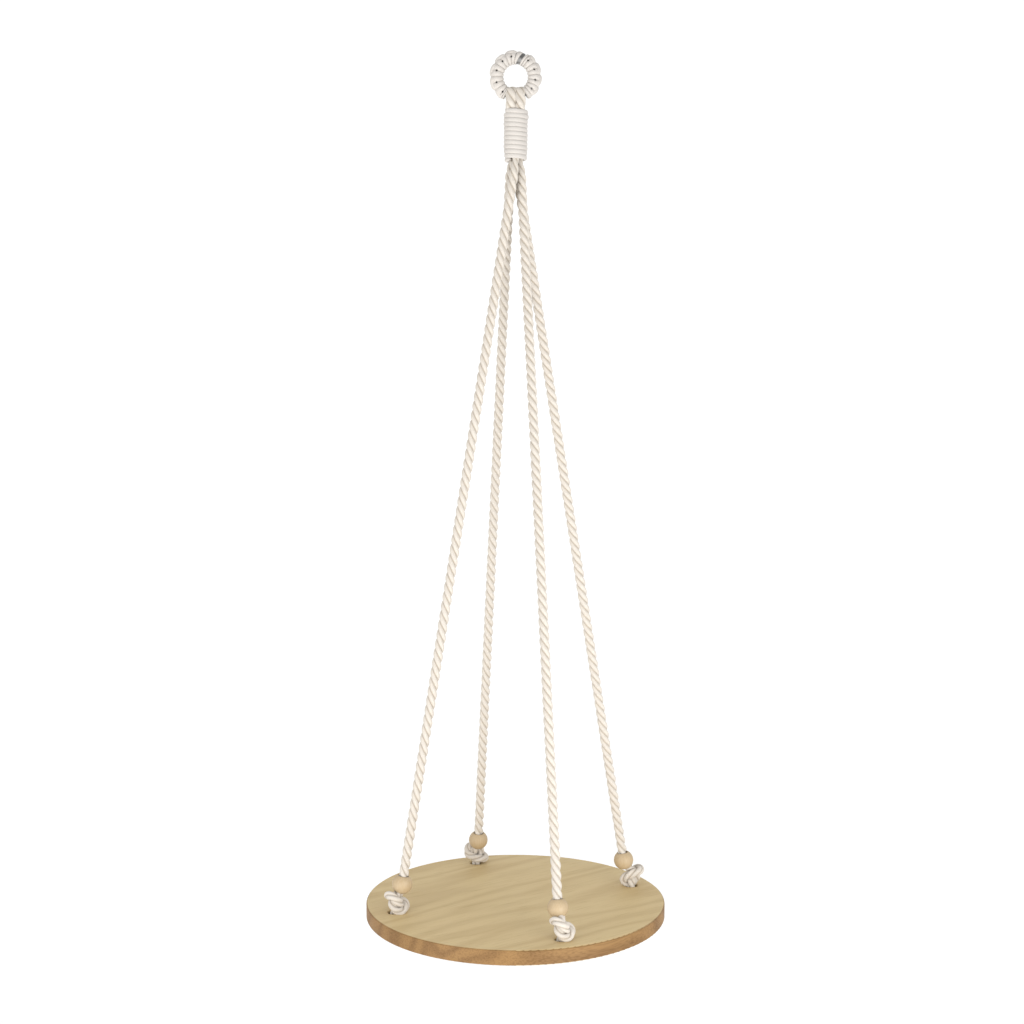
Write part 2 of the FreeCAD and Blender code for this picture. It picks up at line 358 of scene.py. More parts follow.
@dataclass(frozen=True)
class DrawnSteel:
    """Dull grey ring wire with fine draw marks."""

    dark: Colour = (0.16, 0.155, 0.15)
    light: Colour = (0.34, 0.335, 0.33)

    def paint(self) -> bpy.types.Material:
        """Build the material: soft blotches, and short scratches in the gloss.

        Returns:
            The material.
        """
        canvas = Canvas("drawn_steel")
        blotch = canvas.noise(canvas.place(), 180.0, 4.0)
        marks = canvas.noise(canvas.place(0.0, (1.0, 8.0, 1.0)), 900.0, 2.0)
        return canvas.finish(
            Base_Color=canvas.mix(blotch.step(0.3, 0.7), self.dark, self.light),
            Metallic=1.0,
            Roughness=marks * 0.25 + 0.28,
            Normal=canvas.bump(marks, 0.03 * MM, 0.4),
        )


@dataclass(frozen=True)
class ShelfWood:
    """Pale oiled board: straight grain at a slant, and a browner sawn edge."""

    grain_turn: float           # of the grain's run from +X towards +Y, in degrees
    radius: float
    pale: Colour = (0.68, 0.525, 0.275)
    warm: Colour = (0.57, 0.415, 0.20)
    dark: Colour = (0.42, 0.29, 0.13)
    edge_pale: Colour = (0.29, 0.162, 0.057)
    edge_dark: Colour = (0.16, 0.079, 0.024)

    def paint(self) -> bpy.types.Material:
        """Build the material.

        The growth rings are a wave across the grain, bent by slow noise. Fine
        streaks are noise stretched along the grain. The rim turns to the edge
        colours where the distance from the middle nears the board's radius.

        Returns:
            The material.
        """
        canvas = Canvas("shelf_wood")
        turn = -self.grain_turn
        slow = canvas.noise(canvas.place(turn, (1.2, 6.0, 6.0)), 2.2, 2.0)
        _, across, deep = canvas.parts(canvas.place(turn))
        rings = (across * 26.0 + deep * 14.0 + slow * 5.5).ripple() ** 1.6
        streaks = canvas.noise(canvas.place(turn, (4.0, 90.0, 90.0)), 9.0, 4.0)
        pores = canvas.noise(canvas.place(turn, (22.0, 420.0, 420.0)), 6.0, 3.0)
        tone = canvas.mix(rings * 0.62, self.pale, self.warm)
        tone = canvas.mix(streaks.step(0.52, 0.82) * 0.55, tone, self.dark)
        tone = canvas.mix(pores.step(0.56, 0.8) * 0.30, tone, self.dark)
        edge = canvas.mix(rings * 0.5 + streaks.step(0.4, 0.7) * 0.5, self.edge_pale, self.edge_dark)
        x, y, _ = canvas.parts(canvas.place())
        out = (x * x + y * y).root()
        rim = out.step(self.radius - 1.4 * MM, self.radius - 0.4 * MM)
        height = 1 - (pores.step(0.5, 0.8) * 0.6 + streaks * 0.4)
        return canvas.finish(
            Base_Color=canvas.mix(rim, tone, edge),
            Roughness=0.50 + streaks * 0.2,
            Specular_IOR_Level=0.35,
            Normal=canvas.bump(height, 0.12 * MM, 0.7),
        )


@dataclass(frozen=True)
class BeadWood:
    """Raw turned bead: faint grain up the bead, slightly darker end grain."""

    pale: Colour = (0.49, 0.375, 0.23)
    warm: Colour = (0.43, 0.31, 0.172)

    def paint(self) -> bpy.types.Material:
        """Build the material: stretched noise streaks and fine pores.

        Returns:
            The material.
        """
        canvas = Canvas("bead_wood")
        streaks = canvas.noise(canvas.place(25.0, (420.0, 300.0, 45.0)), 2.4, 3.0)
        pores = canvas.noise(canvas.place(25.0, (900.0, 700.0, 120.0)), 2.0, 2.0)
        tone = canvas.mix(streaks.step(0.35, 0.75) * 0.6, self.pale, self.warm)
        tone = canvas.mix(pores.step(0.6, 0.8) * 0.35, tone, (0.36, 0.24, 0.12))
        return canvas.finish(
            Base_Color=tone,
            Roughness=0.48 + pores * 0.15,
            Normal=canvas.bump(1 - pores, 0.04 * MM, 0.4),
        )


@dataclass(frozen=True)
class StudioPaper:
    """Seamless pale paper under and behind the shelf."""

    tone: Colour = (0.92, 0.92, 0.915)
    glow: float = 0.24

    def paint(self) -> bpy.types.Material:
        """Build the material: matt, with the faintest tooth.

        Returns:
            The material.
        """
        canvas = Canvas("studio_paper")
        tooth = canvas.noise(canvas.place(), 300.0)
        return canvas.finish(
            Base_Color=self.tone,
            Roughness=0.9,
            Emission_Color=self.tone,
            Emission_Strength=self.glow,
            Normal=canvas.bump(tooth, 0.05 * MM, 0.2),
        )


# --- meshes and routes --------------------------------------------------------------------
def lengths_along(points: np.ndarray) -> np.ndarray:
    """Running length at each point of a line: the sum of the steps before it."""
    steps = np.linalg.norm(np.diff(points, axis=0), axis=1)
    return np.concatenate([[0.0], np.cumsum(steps)])


def evenly(points: np.ndarray, step: float) -> np.ndarray:
    """Points at even steps along a line.

    Args:
        points: the line's points.
        step: the wanted distance between two points.

    Returns:
        The new points, with the line's own ends.
    """
    along = lengths_along(points)
    count = int(round(along[-1] / step)) + 1
    wanted = np.linspace(0.0, along[-1], count)
    return np.stack([np.interp(wanted, along, points[:, k]) for k in range(3)], axis=1)


def nurbs_line(controls: np.ndarray, resolution: int = 14) -> np.ndarray:
    """The smooth line of a NURBS spline with these control points.

    Args:
        controls: the points that the spline is drawn to.
        resolution: points read back for each control point.

    Returns:
        The line's points, in order.
    """
    data = bpy.data.curves.new("route", "CURVE")
    data.dimensions = "3D"
    spline = data.splines.new("NURBS")
    spline.points.add(len(controls) - 1)
    weighted = np.column_stack([controls, np.ones(len(controls))])
    spline.points.foreach_set("co", weighted.astype(np.float32).ravel())
    spline.order_u = 3
    spline.use_endpoint_u = True
    spline.resolution_u = resolution
    holder = bpy.data.objects.new("route", data)
    mesh = bpy.data.meshes.new_from_object(holder)
    flat = np.zeros(len(mesh.vertices) * 3, np.float32)
    mesh.vertices.foreach_get("co", flat)
    bpy.data.objects.remove(holder)
    bpy.data.curves.remove(data)
    bpy.data.meshes.remove(mesh)
    return flat.reshape(-1, 3).astype(float)


class Route:
    """A cord's centre line, with two directions square to it at each point."""

    def __init__(self, controls: np.ndarray, step: float, facing: Optional[np.ndarray] = None) -> None:
        """Read the line of a NURBS spline and set up its directions.

        Args:
            controls: the spline's control points.
            step: distance between two stations.
            facing: a point that the first direction points away from; without it
                the directions turn as little as they can along the line.
        """
        self.points = evenly(nurbs_line(controls), step)
        self.along = lengths_along(self.points)
        way = np.gradient(self.points, axis=0)
        self.way = way / np.linalg.norm(way, axis=1)[:, None]
        if facing is None:
            self.side = self._least_turn()
        else:
            out = self.points - facing
            out[:, 2] = 0.0
            out -= np.sum(out * self.way, axis=1)[:, None] * self.way
            self.side = out / np.linalg.norm(out, axis=1)[:, None]
        self.over = np.cross(self.way, self.side)

    def _least_turn(self) -> np.ndarray:
        """Directions that turn as little as they can.

        Each is the last one, made square to the line again.

        Returns:
            One direction for each station.
        """
        first = np.cross(self.way[0], (0.31, 0.82, 0.48))
        sides = [first / np.linalg.norm(first)]
        for way in self.way[1:]:
            side = sides[-1] - np.dot(sides[-1], way) * way
            sides.append(side / np.linalg.norm(side))
        return np.array(sides)

    def place_of(self, point: np.ndarray) -> float:
        """Length along the line where it passes nearest to a point."""
        gap = np.linalg.norm(self.points - point, axis=1)
        return float(self.along[gap.argmin()])


class Skin:
    """Grid surfaces gathered into one mesh."""

    def __init__(self) -> None:
        """Start with no surfaces."""
        self.points: list[np.ndarray] = []
        self.faces: list[list[int]] = []
        self.uvs: list[np.ndarray] = []
        self.count = 0

    def add_tube(self, rings: np.ndarray, along: np.ndarray, looped: bool = False) -> None:
        """Add closed rings joined into a tube, with its ends closed.

        A quad joins two neighbours of one ring to those of the next. Its sides are
        swapped if the tube's signed volume says that it points inwards.

        Args:
            rings: the points, as rings by points by 3.
            along: V at each ring, and one more at the end if the tube is looped.
            looped: the last ring joins the first.
        """
        rows, columns = rings.shape[:2]
        if self._inside_out(rings, looped):
            rings = rings[:, ::-1]
        row = np.arange(rows if looped else rows - 1)[:, None]
        column = np.arange(columns)[None, :]
        next_row = (row + 1) % rows
        next_column = (column + 1) % columns
        corners = [(row, column), (row, next_column), (next_row, next_column), (next_row, column)]
        quads = np.stack([a * columns + b + self.count for a, b in corners], axis=-1)
        self.faces += quads.reshape(-1, 4).tolist()
        u = np.stack([column, column + 1, column + 1, column], axis=-1) / columns
        v = np.stack([along[row], along[row], along[row + 1], along[row + 1]], axis=-1)
        u, v = np.broadcast_arrays(u, v)
        self.uvs.append(np.stack([u, v], axis=-1).reshape(-1, 2))
        self.points.append(rings.reshape(-1, 3))
        start = self.count
        self.count += rows * columns
        if not looped:
            self._add_cap(rings[0], start, float(along[0]), True)
            self._add_cap(rings[-1], start + (rows - 1) * columns, float(along[-1]), False)

    def _add_cap(self, ring: np.ndarray, first: int, v: float, at_start: bool) -> None:
        """Close a tube's end with a fan of triangles.

        Args:
            ring: the end ring.
            first: the number of its first point.
            v: V on the cap.
            at_start: the cap closes the tube's first ring.
        """
        columns = len(ring)
        a = np.arange(columns)
        b = (a + 1) % columns
        pair = (b, a) if at_start else (a, b)
        centre = np.full(columns, self.count)
        fan = np.stack([centre, pair[0] + first, pair[1] + first], axis=-1)
        self.faces += fan.tolist()
        self.uvs.append(np.tile((0.0, v), (columns * 3, 1)))
        self.points.append(ring.mean(axis=0)[None])
        self.count += 1

    @staticmethod
    def _inside_out(rings: np.ndarray, looped: bool) -> bool:
        """Whether a tube's quads would face inwards.

        They would if the sum of their volumes, each with the tube's own middle line
        as its origin, is below zero.

        Args:
            rings: the tube's rings.
            looped: the last ring joins the first.

        Returns:
            True for a tube that is inside out.
        """
        middle = rings.mean(axis=1)
        last = np.roll(rings, -1, axis=0) if looped else rings[1:]
        first = rings if looped else rings[:-1]
        core = middle if looped else middle[:-1]
        around = np.roll(first, -1, axis=1) - first
        ahead = last - first
        out = first - core[:, None]
        return float(np.sum(np.cross(around, ahead) * out)) < 0

    def build(self, name: str, material: bpy.types.Material) -> bpy.types.Object:
        """Make the object.

        Args:
            name: its name.
            material: its finish.

        Returns:
            A smooth mesh object at the origin.
        """
        mesh = bpy.data.meshes.new(name)
        mesh.from_pydata(np.concatenate(self.points).tolist(), [], self.faces)
        mesh.polygons.foreach_set("use_smooth", np.ones(len(self.faces), bool))
        layer = mesh.uv_layers.new(name="UVMap")
        layer.data.foreach_set("uv", np.concatenate(self.uvs).astype(np.float32).ravel())
        mesh.materials.append(material)
        mesh.validate()
        made = bpy.data.objects.new(name, mesh)
        bpy.context.scene.collection.objects.link(made)
        return made


def laid_rings(
    route: Route,
    radius: np.ndarray,
    lead: float,
    flat: Optional[np.ndarray] = None,
) -> np.ndarray:
    """Rings of a three-strand rope along a route.

    One ring is the outline of three pressed strands: each strand is a circle whose
    centre lies 0.46 of the rope's radius out, with a radius of 0.54, so its edge is
    0.46 cos(a) + sqrt(0.54^2 - 0.46^2 sin(a)^2) at an angle a from its crest. The
    rings turn against the route by one turn for each lead.

    Args:
        route: the rope's centre line.
        radius: the rope's radius at each station.
        lead: length of one turn of a strand; below zero for a left-hand lay.
        flat: thickness over width at each station, for a rope pressed flat.

    Returns:
        The points, as stations by points by 3.
    """
    out, press, columns, strands = 0.46, 0.54, 42, 3
    around = np.arange(columns) / columns * TURN
    share = (around * strands / TURN) % 1.0
    bend = (share - 0.5) * TURN / strands
    edge = out * np.cos(bend) + np.sqrt(press**2 - (out * np.sin(bend)) ** 2)
    angle = around[None, :] + TURN * route.along[:, None] / lead
    reach = edge[None, :] * radius[:, None]
    wide = np.cos(angle) * reach
    thick = np.sin(angle) * reach * (1.0 if flat is None else flat[:, None])
    sides = wide[..., None] * route.side[:, None] + thick[..., None] * route.over[:, None]
    return route.points[:, None] + sides


def eased(value: np.ndarray, low: float, high: float) -> np.ndarray:
    """A soft step from 0 at low to 1 at high: 3t^2 - 2t^3 of the share t."""
    share = np.clip((value - low) / (high - low), 0.0, 1.0)
    return share * share * (3 - 2 * share)


# --- sizes shared by the sub-assemblies ---------------------------------------------------
class Side(Enum):
    """Which of the two ropes."""

    LEFT = -1
    RIGHT = 1

    @property
    def word(self) -> str:
        """The side's word in the names of its pieces."""
        return self.name.lower()


@dataclass(frozen=True)
class KnotPose:
    """How one overhand knot lies on the board: it is drawn up by hand, so no two
    lie quite alike.
    """

    spin: float                 # about its own rope, in degrees
    roll: float                 # then over sideways, in degrees
    shift: Triple               # of its middle from the hole's, in millimetres
    size: float = 7.0           # diameter of the rope squeezed in it, in millimetres
    mirrored: bool = False


@dataclass(frozen=True)
class Corner:
    """One leg of the sling: its bundle place, its hole and its knot."""

    name: str
    side_x: int
    side_y: int
    hole: int
    knot: KnotPose


@dataclass(frozen=True)
class Frame:
    """Heights and radii that several pieces share, in metres."""

    rope_radius: float = 4.7 * MM
    core_radius: float = 3.4 * MM
    exit_side: float = 4.8 * MM
    core_share: float = 0.70            # of the free ropes' places, inside the wrap
    hole_circle: float = 127.0 * MM
    first_hole_angle: float = -160.5
    leg_foot_inset: float = 4.0 * MM
    ring_radius: float = 18.0 * MM
    ring_z: float = -10.7 * MM
    wrap_top: float = field(default_factory=lambda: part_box("gather_wrap")[1].z)
    wrap_end: float = field(default_factory=lambda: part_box("gather_wrap")[0].z)
    board_top: float = field(default_factory=lambda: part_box("round_board")[1].z)
    board_end: float = field(default_factory=lambda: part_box("round_board")[0].z)

    def hole_point(self, number: int, inset: float, z: float) -> np.ndarray:
        """Point over a hole.

        Args:
            number: the hole's number, counted from the front left one.
            inset: how far it is moved inwards.
            z: its height.

        Returns:
            The point.
        """
        angle = math.radians(self.first_hole_angle + 90 * number)
        out = self.hole_circle - inset
        return np.array([out * math.cos(angle), out * math.sin(angle), z])

    def exit_point(self, corner: Corner, share: float = 1.0) -> np.ndarray:
        """Middle of a rope at the wrap's end.

        The four ropes lie closest packed: two side by side, one before them and
        one behind, root three times as far out.

        Args:
            corner: the rope's corner.
            share: how far out it lies, as a share of the free rope's place.

        Returns:
            The point.
        """
        across = (corner.side_x - corner.side_y) / 2 * self.exit_side * share
        along = (corner.side_x + corner.side_y) / 2 * self.exit_side * math.sqrt(3) * share
        return np.array([across, along, self.wrap_end])

    def leg_point(self, corner: Corner, z: float) -> np.ndarray:
        """Point of a leg's straight line.

        Args:
            corner: the leg's corner.
            z: the point's height.

        Returns:
            The point.
        """
        start = self.exit_point(corner)
        foot = self.hole_point(corner.hole, self.leg_foot_inset, self.board_top)
        return start + (foot - start) * (z - start[2]) / (foot[2] - start[2])

    def ring_spot(
        self,
        angle: np.ndarray,
        around: np.ndarray,
        reach: Union[np.ndarray, float],
    ) -> np.ndarray:
        """Points near the ring.

        Args:
            angle: place along the ring, in radians from +X.
            around: place round its section, in radians from outwards to the front.
            reach: distance from the section's middle.

        Returns:
            The points.
        """
        out = self.ring_radius + reach * np.cos(around)
        x, z = out * np.cos(angle), out * np.sin(angle) + self.ring_z
        return np.stack(np.broadcast_arrays(x, -reach * np.sin(around), z), axis=-1)


CORNERS = {
    "front_left": Corner("front_left", -1, -1, 0, KnotPose(80.0, -60.0, (2.7, -1.0, 11.0))),
    "front_right": Corner("front_right", 1, -1, 1, KnotPose(80.0, -60.0, (1.4, -1.5, 12.0))),
    "back_right": Corner("back_right", 1, 1, 2, KnotPose(240.0, 60.0, (1.0, 0.0, 10.6))),
    "back_left": Corner("back_left", -1, 1, 3, KnotPose(240.0, -70.0, (0.5, 0.0, 10.8), mirrored=True)),
}


# --- ropes -------------------------------------------------------------------------------------
@dataclass
class SlingRope:
    """One endless rope: a front leg, the strap under the board and a back leg."""

    side: Side
    frame: Frame
    lead: float = -28.2 * MM
    crest_radius: float = 4.85 * MM     # over the strands; their hollows lie deeper
    step: float = 1.3 * MM
    length: float = 1.90
    hidden_end: float = 27.0 * MM       # of each end, up inside the wrap
    edge_near: float = 4.1 * MM         # of the points that round a hole's lower edge
    edge_far: float = 9.9 * MM
    strap_gap: float = 0.5 * MM         # between the board and the strap
    knot_press: float = 0.63            # radius in a knot over the knot's rope size
    unevenness: float = 0.012           # slow change of the radius along the rope

    # The first half of the knot's control points, in diameters of the rope, with the
    # rope running along +X. The second half is the first, turned half round about Y.
    KNOT_HALF = (
        (-0.40, 0.25, -0.70),
        (-0.60, -0.30, 0.20),
        (0.05, -1.00, 0.70),
        (1.35, -0.65, 0.70),
        (1.50, 0.40, -0.05),
        (0.65, 1.00, -0.10),
    )

    def corners(self) -> tuple[Corner, Corner]:
        """The front and the back corner that this rope hangs.

        Returns:
            The two corners.
        """
        if self.side is Side.LEFT:
            return CORNERS["front_left"], CORNERS["back_left"]
        return CORNERS["front_right"], CORNERS["back_right"]

    def knot_points(self, corner: Corner) -> np.ndarray:
        """Control points of a corner's knot, from the bead down to the board.

        The list is stood on end, spun about the rope, rolled over sideways, sized
        to the squeezed rope and set over the hole.

        Args:
            corner: the knot's corner.

        Returns:
            The points, in metres.
        """
        half = np.array(self.KNOT_HALF)
        whole = np.concatenate([half, half[::-1] * (-1, 1, -1)])
        if corner.knot.mirrored:
            whole = whole * (1, 1, -1)
        upright = np.stack([whole[:, 1], whole[:, 2], -whole[:, 0]], axis=1)
        spin, roll = math.radians(corner.knot.spin), math.radians(corner.knot.roll)
        x = upright[:, 0] * math.cos(spin) - upright[:, 1] * math.sin(spin)
        y = upright[:, 0] * math.sin(spin) + upright[:, 1] * math.cos(spin)
        z = upright[:, 2]
        rolled_x = x * math.cos(roll) + z * math.sin(roll)
        rolled_z = z * math.cos(roll) - x * math.sin(roll)
        rolled = np.stack([rolled_x, y, rolled_z], axis=1)
        middle = self.frame.hole_point(corner.hole, 0.0, self.frame.board_top)
        return middle + (np.array(corner.knot.shift) + rolled * corner.knot.size) * MM

    def leg_points(self, corner: Corner) -> np.ndarray:
        """Control points of a leg, from inside the wrap to just under the bead.

        The rope steps outwards from its core's place at the wrap's end, and then
        runs straight down to the knot.

        Args:
            corner: the leg's corner.

        Returns:
            The points.
        """
        size = self.frame
        inside = size.exit_point(corner, size.core_share)
        points = []
        for drop in (self.hidden_end, self.hidden_end / 2, 3 * MM):
            points.append(inside + (0.0, 0.0, drop))
        for drop in (9 * MM, 24 * MM, 60 * MM, 330 * MM):
            points.append(size.leg_point(corner, size.wrap_end - drop))
        for height in (95 * MM, 42 * MM, 27 * MM, 23 * MM):
            points.append(size.leg_point(corner, size.board_top + height))
        return np.array(points)

    def hole_points(self, corner: Corner, towards: np.ndarray) -> np.ndarray:
        """Control points down through a hole and round its lower edge.

        Two points before the corner and two after it make a round bend.

        Args:
            corner: the hole's corner.
            towards: a point over the hole that the strap runs to.

        Returns:
            The points.
        """
        size = self.frame
        top = size.hole_point(corner.hole, 0.0, size.board_top)
        run = size.board_end - size.rope_radius - self.strap_gap
        across = towards - top
        across[2] = 0.0
        across /= np.linalg.norm(across)
        low = np.array([top[0], top[1], run])
        down = np.array([0.0, 0.0, -1.0])
        points = [top + down * 5.0 * MM]
        for rise in (self.edge_far, self.edge_near):
            points.append(low - down * rise)
        for run_on in (self.edge_near, self.edge_far, 40.0 * MM):
            points.append(low + across * run_on)
        return np.array(points)

    def controls(self) -> np.ndarray:
        """Control points of the whole rope, from the front leg's top to the back's.

        Returns:
            The points.
        """
        front, back = self.corners()
        size = self.frame
        halves = []
        for corner, other in ((front, back), (back, front)):
            towards = size.hole_point(other.hole, 0.0, size.board_top)
            halves.append(np.concatenate([
                self.leg_points(corner),
                self.knot_points(corner),
                self.hole_points(corner, towards),
            ]))
        return np.concatenate([halves[0], halves[1][::-1]])

    def radius_along(self, route: Route) -> np.ndarray:
        """The rope's radius, full on the legs and under the board, and squeezed in
        the wrap and in the knots, with soft steps between.

        Args:
            route: the rope's centre line.

        Returns:
            The radius at each station.
        """
        size = self.frame
        radius = np.full(len(route.points), self.crest_radius)
        height = route.points[:, 2]
        squeeze = eased(height, size.wrap_end - 14 * MM, size.wrap_end + 1 * MM)
        radius -= squeeze * (self.crest_radius - size.core_radius)
        for corner in self.corners():
            knot = self.knot_points(corner)
            low, high = sorted((route.place_of(knot[0]), route.place_of(knot[-1])))
            inside = eased(route.along, low - 7 * MM, low + 3 * MM)
            inside *= 1 - eased(route.along, high - 2 * MM, high + 9 * MM)
            radius -= inside * (self.crest_radius - corner.knot.size * MM * self.knot_press)
        slow = np.sin(route.along / (41 * MM)) * np.sin(route.along / (17 * MM) + 1.0)
        return radius * (1 + self.unevenness * slow)

    def build(self, finish: bpy.types.Material) -> bpy.types.Object:
        """Make the rope.

        Args:
            finish: the rope's cotton.

        Returns:
            The piece.
        """
        route = Route(self.controls(), self.step)
        rings = laid_rings(route, self.radius_along(route), self.lead)
        skin = Skin()
        skin.add_tube(rings, route.along / CM)
        word = self.side.word
        piece = skin.build("sling_rope_" + word, finish)
        corners = self.corners()
        nodes = ["rope_" + part + "_" + c.name for c in corners for part in ("core", "leg", "knot")]
        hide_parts(*nodes, "board_strap_" + word)
        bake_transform(piece)
        exit_point = self.frame.exit_point(corners[0], self.frame.core_share)
        log.info("%s: %.3f m of rope, %d stations", piece.name, route.along[-1], len(route.points))
        return piece


@dataclass
class FoldedRope:
    """The stretch of a rope that is pressed flat over the ring's wire."""

    side: Side
    frame: Frame
    offset: float = 4.3 * MM
    bend: float = 6.5 * MM
    width: float = 11.0 * MM
    foot_place: float = 3.6 * MM        # of the foot's middle from the wrap's axis
    foot_flat: float = 0.92             # thickness over width at the foot
    press: float = 0.44                 # how much less it is on the wire
    lead: float = -30.0 * MM
    step: float = 0.9 * MM

    def controls(self) -> np.ndarray:
        """Control points: up in front of the wire, over it and down behind.

        The bend's points are the corners of an octagon round its circle, which a
        spline of this order touches in the middle of each side.

        Returns:
            The points.
        """
        size = self.frame
        pivot = size.ring_z - size.ring_radius
        x = self.side.value * self.offset
        inner = self.side.value * self.foot_place
        corner = self.bend * math.tan(TURN / 16)
        front = [
            (inner, -self.foot_place, size.wrap_top - 7 * MM),
            (inner, -3.8 * MM, size.wrap_top - 3 * MM),
            (x, -self.bend + 0.4 * MM, size.wrap_top + 3.5 * MM),
            (x, -self.bend, size.wrap_top + 8 * MM),
            (x, -self.bend, pivot + corner),
            (x, -corner, pivot + self.bend),
        ]
        back = [(px, -py, pz) for px, py, pz in reversed(front)]
        return np.array(front + back)

    def build(self, finish: bpy.types.Material) -> bpy.types.Object:
        """Make the fold, wide on the wire and rounder towards the wrap.

        Args:
            finish: the rope's cotton.

        Returns:
            The piece.
        """
        size = self.frame
        route = Route(self.controls(), self.step)
        route.side = np.tile((1.0, 0.0, 0.0), (len(route.points), 1))
        route.side -= np.sum(route.side * route.way, axis=1)[:, None] * route.way
        route.side /= np.linalg.norm(route.side, axis=1)[:, None]
        route.over = np.cross(route.way, route.side)
        height = route.points[:, 2]
        pivot = size.ring_z - size.ring_radius
        held = 1 - eased(height, size.wrap_top - 5 * MM, size.wrap_top + 1 * MM)
        radius = self.width / 2 * (1 - held) + size.core_radius * held
        pressed = eased(height, pivot - 7 * MM, pivot + 3 * MM)
        flat = self.foot_flat - self.press * pressed
        skin = Skin()
        skin.add_tube(laid_rings(route, radius, self.lead, flat), route.along / CM)
        word = self.side.word
        piece = skin.build("folded_rope_" + word, finish)
        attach(piece, "head")
        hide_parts("rope_fold_" + word)
        log.info("%s: %.1f mm", piece.name, route.along[-1] / MM)
        return piece


@dataclass
class GatheringWrap:
    """The cord coiled round the four rope lengths, its turns pressed together."""

    frame: Frame
    turns: int = 12
    outer: float = 11.8 * MM
    drawn_in: float = 10.7 * MM
    taper_turns: float = 3.0
    half_thick: float = 1.75 * MM
    points_per_turn: int = 16
    first_angle: float = 200.0          # where the coil starts, in degrees from +X
    bulge: float = 1.7 * MM             # over the tucked tail
    bulge_angle: float = -18.0
    bulge_turn: float = 1.3
    flatness: float = 0.65              # power that flattens the turns' outer face
    half_tall: float = 0.54             # of a turn's section, in pitches
    step: float = 1.1 * MM

    def controls(self) -> np.ndarray:
        """Control points of the coil.

        A helix of one pitch for each turn. Its radius shrinks with the square of
        the share of the last turns, swells where the cord's tail is tucked under
        the top turns, and dives inwards at both ends.

        Returns:
            The points.
        """
        size = self.frame
        pitch = (size.wrap_top - size.wrap_end) / self.turns
        turn = np.linspace(0.0, self.turns - 1.0, (self.turns - 1) * self.points_per_turn + 1)
        angle = TURN * turn + math.radians(self.first_angle)
        share = np.clip((turn - (self.turns - 1 - self.taper_turns)) / self.taper_turns, 0.0, 1.0)
        radius = self.outer - (self.outer - self.drawn_in) * share**2 - self.half_thick
        radius = radius + 0.08 * MM * np.sin(angle * 0.37) + 0.06 * MM * np.sin(angle * 0.83 + 1.0)
        off = (angle - math.radians(self.bulge_angle) + math.pi) % TURN - math.pi
        near_tail = np.exp(-((off / 0.55) ** 2) - ((turn - self.bulge_turn) / 0.9) ** 2)
        radius = radius + self.bulge * near_tail
        height = size.wrap_top - pitch * (turn + 0.5) + 0.07 * MM * np.sin(angle * 0.61)
        helix = np.stack([radius * np.cos(angle), radius * np.sin(angle), height], axis=1)
        first = helix[0] * (0.62, 0.62, 1.0) + (0.0, 0.0, -1.2 * MM)
        last = helix[-1] * (0.60, 0.60, 1.0) + (0.0, 0.0, 1.5 * MM)
        return np.concatenate([[first], helix, [last]])

    def build(self, finish: bpy.types.Material) -> bpy.types.Object:
        """Make the coil from an oval section.

        The section is tall along the wrap, and its outward reach is a power of the
        cosine below one, so that the turns lie nearly flush.

        Args:
            finish: the cord's cotton.

        Returns:
            The piece.
        """
        size = self.frame
        route = Route(self.controls(), self.step, facing=np.zeros(3))
        pitch = (size.wrap_top - size.wrap_end) / self.turns
        around = np.arange(16) / 16 * TURN
        out = np.sign(np.cos(around)) * np.abs(np.cos(around)) ** self.flatness * self.half_thick
        tall = np.sin(around) * pitch * self.half_tall
        outwards = out[:, None] * route.side[:, None]
        rings = route.points[:, None] + outwards + tall[:, None] * route.over[:, None]
        skin = Skin()
        skin.add_tube(rings, route.along / CM)
        piece = skin.build("gathering_cord", finish)
        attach(piece, "head")
        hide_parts("gather_wrap")
        log.info("%s: %.3f m of cord in %d turns", piece.name, route.along[-1], self.turns)
        return piece


